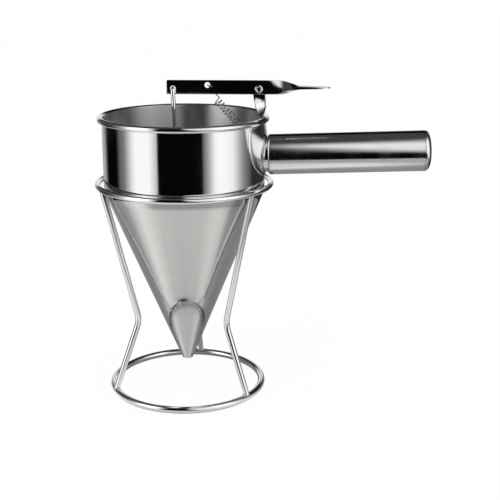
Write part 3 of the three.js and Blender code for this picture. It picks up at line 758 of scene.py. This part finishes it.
def rub_lines_group():
    """Fine lines left by the rubbing wheel: noise drawn out along the direction of rubbing."""
    group, given, made = new_group(
        "rub_lines",
        [("Vector", "NodeSocketVector", (0, 0, 0)), ("Stretch", "NodeSocketVector", (1, 1, 1))],
        [("Lines", "NodeSocketFloat"), ("Bands", "NodeSocketFloat")])
    scaled = add_node(
        group, "ShaderNodeVectorMath",
        {0: given.outputs["Vector"], 1: given.outputs["Stretch"]}, operation="MULTIPLY")
    for name, scale, detail, rough in (("Lines", 1.0, 4.0, 0.65), ("Bands", 0.13, 2.0, 0.5)):
        noise = add_node(group, "ShaderNodeTexNoise", {
            "Vector": scaled.outputs[0], "Scale": scale, "Detail": detail, "Roughness": rough})
        group.links.new(noise.outputs["Fac"], made.inputs[name])
    return group


def wipe_marks_group():
    """Faint wipe marks and water film: soft patches that change how sharp the shine is."""
    group, given, made = new_group(
        "wipe_marks",
        [("Vector", "NodeSocketVector", (0, 0, 0)), ("Size", "NodeSocketFloat", 40.0)],
        [("Marks", "NodeSocketFloat")])
    patches = add_node(group, "ShaderNodeTexNoise", {
        "Vector": given.outputs["Vector"], "Scale": given.outputs["Size"],
        "Detail": 3.0, "Roughness": 0.55, "Distortion": 0.8})
    spread = add_node(group, "ShaderNodeMapRange", {
        "Value": patches.outputs["Fac"], "From Min": 0.35, "From Max": 0.7})
    group.links.new(spread.outputs["Result"], made.inputs["Marks"])
    return group


RUB_LINES = rub_lines_group()
WIPE_MARKS = wipe_marks_group()


def steel(name, light, dark, roughness, stretch_by, line_depth, brushed=0.0):
    """A steel finish: two close tones, a span of roughness, and rub lines in one direction."""
    finish = bpy.data.materials.new(name)
    finish.use_nodes = True
    tree = finish.node_tree
    shader = tree.nodes["Principled BSDF"]
    shader.inputs["Metallic"].default_value = 1.0
    shader.inputs["Anisotropic"].default_value = brushed
    shader.inputs["Anisotropic Rotation"].default_value = 0.25
    place = add_node(tree, "ShaderNodeTexCoord")
    centred = add_node(tree, "ShaderNodeMapping", {
        "Vector": place.outputs["Object"], "Location": (-AXIS_X * MM, 0, 0)})
    lines = add_node(tree, "ShaderNodeGroup", {
        "Vector": centred.outputs["Vector"], "Stretch": stretch_by}, node_tree=RUB_LINES)
    marks = add_node(tree, "ShaderNodeGroup", {
        "Vector": centred.outputs["Vector"], "Size": WIPE_SIZE}, node_tree=WIPE_MARKS)
    tone = add_node(tree, "ShaderNodeMix", {
        "Factor": lines.outputs["Bands"], "A": (*dark, 1), "B": (*light, 1)}, data_type="RGBA")
    tree.links.new(tone.outputs["Result"], shader.inputs["Base Color"])
    both = add_node(tree, "ShaderNodeMath", {
        0: lines.outputs["Lines"], 1: marks.outputs["Marks"]}, operation="ADD")
    dullness = add_node(tree, "ShaderNodeMapRange", {
        "Value": both.outputs["Value"], "From Min": 0.4, "From Max": 1.5,
        "To Min": roughness[0], "To Max": roughness[1]})
    tree.links.new(dullness.outputs["Result"], shader.inputs["Roughness"])
    relief = add_node(tree, "ShaderNodeBump", {
        "Height": lines.outputs["Lines"], "Strength": 0.35, "Distance": line_depth * MM})
    tree.links.new(relief.outputs["Normal"], shader.inputs["Normal"])
    return finish


WIPE_SIZE = 40.0

# How far the rub lines are drawn together in x, y and z, by the way the piece was rubbed
ROUND_AXIS = (18, 18, 2600)
ALONG_X = (14, 1500, 1500)
ACROSS_X = (2200, 22, 22)
WIRE_DRAW = (260, 260, 120)
PRESSED = (40, 40, 40)
GRAINY = (900, 900, 900)

# Each finish: light tone, dark tone, sharpest and dullest shine, rub, depth of its lines in mm
polished_bowl = steel(
    "polished_bowl", (0.80, 0.81, 0.81), (0.77, 0.775, 0.775), (0.035, 0.10), ROUND_AXIS, 0.0006)
brushed_inside = steel(
    "brushed_inside", (0.80, 0.805, 0.80), (0.72, 0.725, 0.72), (0.34, 0.44), ROUND_AXIS, 0.002,
    brushed=1.0)
pressed_saddle = steel(
    "pressed_saddle", (0.82, 0.83, 0.83), (0.78, 0.785, 0.785), (0.09, 0.16), PRESSED, 0.001)
satin_cone = steel(
    "satin_cone", (0.66, 0.66, 0.64), (0.60, 0.60, 0.585), (0.05, 0.10), ROUND_AXIS, 0.001)
polished_grip = steel(
    "polished_grip", (0.78, 0.785, 0.78), (0.74, 0.745, 0.74), (0.08, 0.17), ACROSS_X, 0.0009)
polished_strip = steel(
    "polished_strip", (0.79, 0.80, 0.80), (0.76, 0.765, 0.765), (0.05, 0.12), ALONG_X, 0.0007)
bright_wire = steel(
    "bright_wire", (0.85, 0.86, 0.87), (0.81, 0.82, 0.83), (0.04, 0.11), WIRE_DRAW, 0.0006)
spring_wire = steel(
    "spring_wire", (0.60, 0.61, 0.62), (0.50, 0.51, 0.52), (0.04, 0.12), WIRE_DRAW, 0.0012)
heat_tinted_weld = steel(
    "heat_tinted_weld", (0.74, 0.73, 0.70), (0.58, 0.56, 0.52), (0.18, 0.36), GRAINY, 0.01)


def dress(piece, body, material, slot, *nodes, angle=35):
    """Gives a piece its finish, its body, and the parts that it stands for."""
    smooth(piece, angle)
    piece.data.materials.clear()
    piece.data.materials.append(material)
    if body:
        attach(piece, body)
    if nodes:
        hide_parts(*nodes)
    return piece


bowl = dress(make_bowl(), "funnel", polished_bowl, "polished_steel", "bowl_shell")
bowl.data.materials.append(brushed_inside)
for face in bowl.data.polygons:
    outwards = Vector((face.center.x - AXIS_X * MM, face.center.y, 0))
    if outwards.length < (BOWL_RADIUS - SHEET / 2) * MM and outwards.dot(face.normal) < 0:
        face.material_index = 1
dress(make_cone(), "funnel", satin_cone, "satin_steel", "funnel_cone")
dress(make_saddle(), "funnel", pressed_saddle, "polished_steel", "handle_saddle", angle=60)
dress(make_neck(), "funnel", polished_bowl, "polished_steel", "handle_neck")
dress(make_front_cap(), "funnel", polished_grip, "polished_steel", "handle_front_cap")
dress(make_tube(), "funnel", polished_grip, "polished_steel", "handle_tube")
dress(make_end_cap(), "funnel", polished_grip, "polished_steel", "handle_end_cap")
dress(make_bracket(), "funnel", polished_strip, "polished_steel", "lever_bracket", angle=30)
dress(make_lever(), "lever", polished_strip, "polished_steel", "lever", angle=30)
dress(make_rivet(), "lever", bright_wire, "chromed_wire", "pivot_rivet")
dress(make_rod(), "rod", bright_wire, "chromed_wire", "pull_rod", angle=60)
dress(make_plug(), "rod", satin_cone, "satin_steel", "stopper_plug")
spring = dress(make_spring(), None, spring_wire, "spring_steel", "return_spring", angle=60)
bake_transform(spring)

for name, ring, weld_angle in (("base_ring", BASE_RING, 140), ("top_ring", TOP_RING, 20)):
    ring_piece = make_ring(name, ring, weld_angle)
    dress(ring_piece, "stand", bright_wire, "chromed_wire", "stand_" + name, angle=60)
for place, leg in make_legs().items():
    dress(leg, "stand", bright_wire, "chromed_wire", "stand_leg_" + place, angle=60)
top_radius, top_height = leg_top()
for place, angle in LEG_ANGLES.items():
    for name, centre, size in (
        ("weld_top_", (top_radius + 0.6, 0, top_height + 0.1), (2.0, 2.7, 1.2)),
        ("weld_foot_", (BASE_RING[0], 0, BASE_RING[1] - 0.2), (2.2, 2.9, 1.0)),
    ):
        bead = make_weld(name + place, centre, size, math.radians(angle))
        dress(bead, "stand", heat_tinted_weld, "chromed_wire", angle=60)


# ---------- studio ----------

def plain_surface(name, build):
    """A material of the studio, its tree made by one of the functions below."""
    surface = bpy.data.materials.new(name)
    surface.use_nodes = True
    tree = surface.node_tree
    tree.nodes.clear()
    output = tree.nodes.new("ShaderNodeOutputMaterial")
    tree.links.new(build(tree), output.inputs["Surface"])
    return surface


def add_ramp(tree, source, corners, start, end):
    """A ramp of greys over corners of (place, tone), fed with the place's share of the span."""
    ramp = add_node(tree, "ShaderNodeValToRGB", {"Fac": source})
    marks = ramp.color_ramp.elements
    while len(marks) < len(corners):
        marks.new(0.5)
    for mark, (place, _) in zip(marks, corners):
        mark.position = (place - start) / (end - start)
    for mark, (_, tone) in zip(marks, corners):
        mark.color = (tone, tone, tone, 1)
    return ramp.outputs["Color"]


# Painted light on the floor as metal sees it, by azimuth in degrees: pools of light to the left and
# right, dimmer towards the camera, darker behind; 0 is the camera's side, 90 the handle's
PAINTED_FLOOR_LIGHT = [
    (-180, 0.3), (-115, 0.3), (-95, 0.42), (-82, 0.72), (-68, 0.97), (-56, 0.92), (-35, 0.72),
    (0, 0.66), (35, 0.7), (50, 0.82), (60, 0.86), (72, 0.75), (82, 0.4), (110, 0.3), (180, 0.3),
]
# Painted shadow on the floor as metal sees it: darker away from the funnel, darkest in a ring near
# 0.235, in metres, and the azimuths at which it is painted
PAINTED_FLOOR_SHADOW = [(0, 1), (0.165, 1), (0.2, 0.8), (0.235, 0.5), (0.26, 0.55), (0.5, 0.55)]
PAINTED_SHADOW_AZIMUTHS = [(-180, 0), (-55, 0), (-38, 1), (95, 1), (125, 0), (180, 0)]
FLOOR_WHITE = 0.9
SHADOW_SHARE = 0.07


def painted_floor_light_in_metal(tree):
    """Painted light and shadow on the floor at each place round the funnel, as polished metal sees
    it.
    """
    place = add_node(tree, "ShaderNodeNewGeometry")
    centred = add_node(tree, "ShaderNodeVectorMath", {
        0: place.outputs["Position"], 1: (-AXIS_X * MM, 0, 0)}, operation="ADD")
    parts = add_node(tree, "ShaderNodeSeparateXYZ", {"Vector": centred.outputs["Vector"]})
    nearer = add_node(tree, "ShaderNodeMath", {0: parts.outputs["Y"], 1: -1}, operation="MULTIPLY")
    azimuth = add_node(tree, "ShaderNodeMath", {
        0: parts.outputs["X"], 1: nearer.outputs[0]}, operation="ARCTAN2")
    round_share = add_node(tree, "ShaderNodeMath", {
        0: azimuth.outputs[0], 1: 0.5 / math.pi, 2: 0.5}, operation="MULTIPLY_ADD")
    away = add_node(
        tree, "ShaderNodeVectorMath", {0: centred.outputs["Vector"]}, operation="LENGTH")
    reach = PAINTED_FLOOR_SHADOW[-1][0]
    away_share = add_node(tree, "ShaderNodeMath", {
        0: away.outputs["Value"], 1: 1 / reach}, operation="MULTIPLY")
    # Painted pools of light by azimuth, times the painted shadow away from the funnel at the
    # azimuths where it is painted
    painted_floor_light_and_shadow = add_node(tree, "ShaderNodeMix", {
        "Factor": add_ramp(tree, round_share.outputs[0], PAINTED_SHADOW_AZIMUTHS, -180, 180),
        "A": add_ramp(tree, round_share.outputs[0], PAINTED_FLOOR_LIGHT, -180, 180),
        "B": add_ramp(tree, away_share.outputs[0], PAINTED_FLOOR_SHADOW, 0, reach),
    }, data_type="RGBA", blend_type="MULTIPLY")
    return painted_floor_light_and_shadow.outputs["Result"]


def white_for_the_camera(tree):
    """Floor that is white to the camera but for the object's shadow, and in metal a grey with
    painted pools of light and painted shadow.
    """
    path = add_node(tree, "ShaderNodeLightPath")
    # In reflections the floor shows its painted light and shadow instead of plain white
    tone = add_node(tree, "ShaderNodeMix", {
        "Factor": path.outputs["Is Glossy Ray"],
        "A": (FLOOR_WHITE, FLOOR_WHITE, FLOOR_WHITE, 1),
        "B": painted_floor_light_in_metal(tree),
    }, data_type="RGBA")
    lit = add_node(tree, "ShaderNodeBsdfDiffuse", {"Color": tone.outputs["Result"]})
    glow = add_node(tree, "ShaderNodeEmission", {"Color": (1, 1, 1, 1), "Strength": 1.0})
    seen = add_node(tree, "ShaderNodeMath", {
        0: path.outputs["Is Camera Ray"], 1: 1 - SHADOW_SHARE}, operation="MULTIPLY")
    mix = add_node(tree, "ShaderNodeMixShader", {
        0: seen.outputs[0], 1: lit.outputs[0], 2: glow.outputs[0]})
    return mix.outputs[0]


def tent_cloth(tree):
    """Cloth that glows as its corners are painted."""
    shade = add_node(tree, "ShaderNodeVertexColor", layer_name="light")
    glow = add_node(tree, "ShaderNodeEmission", {"Color": shade.outputs["Color"], "Strength": 1.0})
    return glow.outputs[0]


floor_white = plain_surface("floor_white", white_for_the_camera)
tent_light = plain_surface("tent_light", tent_cloth)


def lay_floor(name, radius, height, in_reflections):
    """A round sheet of floor under the funnel."""
    bench_clear()
    bpy.ops.mesh.primitive_circle_add(
        vertices=96, radius=radius, fill_type="NGON", location=(AXIS_X * MM, 0, height))
    sheet = bpy.context.object
    sheet.name = name
    sheet.data.materials.append(floor_white)
    sheet.visible_glossy = in_reflections


def step_up(value, edge, soft):
    """0 below a soft edge and 1 above it."""
    return smoothstep(value, edge - soft / 2, edge + soft / 2)


def along_line(points, place):
    """Value at a place on a line of (place, value) corners."""
    for (a, low), (b, high) in zip(points, points[1:]):
        if place <= b:
            return low + (high - low) * (place - a) / (b - a)
    return points[-1][1]


BLACK = 0.002
# Light at the height of the bowl, by azimuth
BELT = [
    (-180, 0.45), (-140, 0.45), (-130, 0.12), (-126, 0.01), (-122, BLACK), (-100, BLACK),
    (-97, 0.05), (-92, 0.15), (-84, 0.23), (-77, 0.53), (-70, 0.93), (-63, 1.2), (-43, 1.18),
    (-37, 0.9), (-31.5, 0.62), (-29.5, BLACK), (30, BLACK), (32, 0.15), (39, 0.46), (44.5, 0.84),
    (49, 1.12), (56, 1.2), (68, 1.15), (76, 1.05), (83, 0.75), (90, 0.46), (97, 0.26),
    (107, 0.13), (115, 0.03), (163, 0.03), (180, 0.45),
]
# Light above that height, by azimuth
UPPER = [
    (-180, 0.9), (-150, 0.8), (-140, 0.15), (-112, 0.06), (-97, 0.1), (-84, 0.35), (-77, 0.6),
    (-70, 1.3), (-60, 1.8), (-45, 1.8), (-37, 0.8), (-30, BLACK), (0, BLACK), (1, 1.0), (40, 1.0),
    (52, 1.35), (68, 1.3), (78, 0.95), (86, 0.6), (97, 0.25), (111, 0.06), (123, 0.02),
    (150, 0.05), (165, 0.8), (180, 0.9),
]
# Soft left edge of the big light on the right, by elevation: where it is, and how soft
EDGE = [(-90, 30.5), (-12, 30.5), (-7, 26), (4, 20), (15, 13.5), (30, 9.5), (50, 4), (90, 0)]
EDGE_SOFT = [(-90, 3), (-12, 3), (4, 18), (30, 14), (90, 12)]
# Height at which the walls end and the dark canopy begins, by azimuth
CANOPY = [(-180, 16), (-140, 16), (-110, 44), (-40, 46), (0, 60), (110, 60), (140, 16), (180, 16)]
CANOPY_LIGHT = 0.06
CANOPY_LIGHT_BEHIND = 0.004


def light_at(azimuth, elevation):
    """Brightness of the studio's walls in one direction from the bowl, both angles in degrees."""
    low = along_line(BELT, azimuth)
    if 35 < azimuth < 115:  # the dim foot of the wall behind the handle's end
        low *= 1 - 0.75 * step_up(-elevation, 19.5, 4)
    high = along_line(UPPER, azimuth)
    if 0 < azimuth < 60:
        past = azimuth - along_line(EDGE, elevation)
        high = BLACK + (high - BLACK) * step_up(past, 0, along_line(EDGE_SOFT, elevation))
    level = low + (high - low) * step_up(elevation, -6, 8)
    roof = CANOPY_LIGHT if elevation > 50 or abs(azimuth) < 140 else CANOPY_LIGHT_BEHIND
    softness = 30 if 0 <= azimuth < 130 else 10
    return level + (roof - level) * step_up(elevation, along_line(CANOPY, azimuth), softness)


def pitch_tent(reach=0.95, height=0.16):
    """A closed dome that only metal sees, its brightness painted corner by corner."""
    bench_clear()
    bpy.ops.mesh.primitive_uv_sphere_add(segments=360, ring_count=180, radius=reach)
    tent = bpy.context.object
    tent.name = "light_tent"
    light = tent.data.color_attributes.new(name="light", type="FLOAT_COLOR", domain="POINT")
    for vertex in tent.data.vertices:
        azimuth = math.degrees(math.atan2(vertex.co.x, -vertex.co.y))
        elevation = math.degrees(math.asin(max(-1, min(1, vertex.co.z / reach))))
        level = light_at(azimuth, elevation)
        light.data[vertex.index].color = (level, level, level, 1)
    tent.data.transform(Matrix.Translation((AXIS_X * MM, 0, height)))
    tent.data.materials.append(tent_light)
    tent.visible_camera = False
    tent.visible_diffuse = False
    tent.visible_shadow = False
    tent.visible_transmission = False


lay_floor("table_top", 0.36, 0.0, True)
lay_floor("floor", 6.0, -0.0005, False)
pitch_tent()

world = bpy.data.worlds.new("studio_white")
bpy.context.scene.world = world
world.use_nodes = True
backdrop = world.node_tree.nodes["Background"]
backdrop.inputs["Color"].default_value = (1, 1, 1, 1)
backdrop.inputs["Strength"].default_value = 1.0


def hang_lamp(name, place, size, power):
    """A square lamp aimed at the funnel, left out of reflections."""
    lamp_data = bpy.data.lights.new(name, "AREA")
    lamp_data.size = size
    lamp_data.energy = power
    lamp = bpy.data.objects.new(name, lamp_data)
    bpy.context.scene.collection.objects.link(lamp)
    lamp.location = place
    aim = Vector((0, 0, 0.1)) - Vector(place)
    lamp.rotation_mode = "QUATERNION"
    lamp.rotation_quaternion = aim.to_track_quat("-Z", "Y")
    lamp.visible_glossy = False


hang_lamp("key_left", (-0.7, -0.8, 1.1), 0.8, 3.0)
hang_lamp("fill_right", (0.9, -0.5, 0.9), 0.9, 2.0)

# Camera fitted to the photograph: place from the funnel's foot in mm, angles in degrees
CAMERA_PLACE = (72.9, -693.2, 304)
CAMERA_PITCH = 16.0
CAMERA_TURN = 2.13
FOCAL_PIXELS = 985
PICTURE_PIXELS = 500

camera_data = bpy.data.cameras.new("photo_camera")
camera_data.sensor_width = 36.0
camera_data.lens = FOCAL_PIXELS / PICTURE_PIXELS * camera_data.sensor_width
camera_data.clip_start = 0.01
camera = bpy.data.objects.new("photo_camera", camera_data)
bpy.context.scene.collection.objects.link(camera)
camera.location = (Vector((AXIS_X, 0, 0)) + Vector(CAMERA_PLACE)) * MM
camera.rotation_euler = (math.radians(90 - CAMERA_PITCH), 0, math.radians(CAMERA_TURN))
bpy.context.scene.camera = camera
bpy.context.scene.view_settings.view_transform = "Standard"
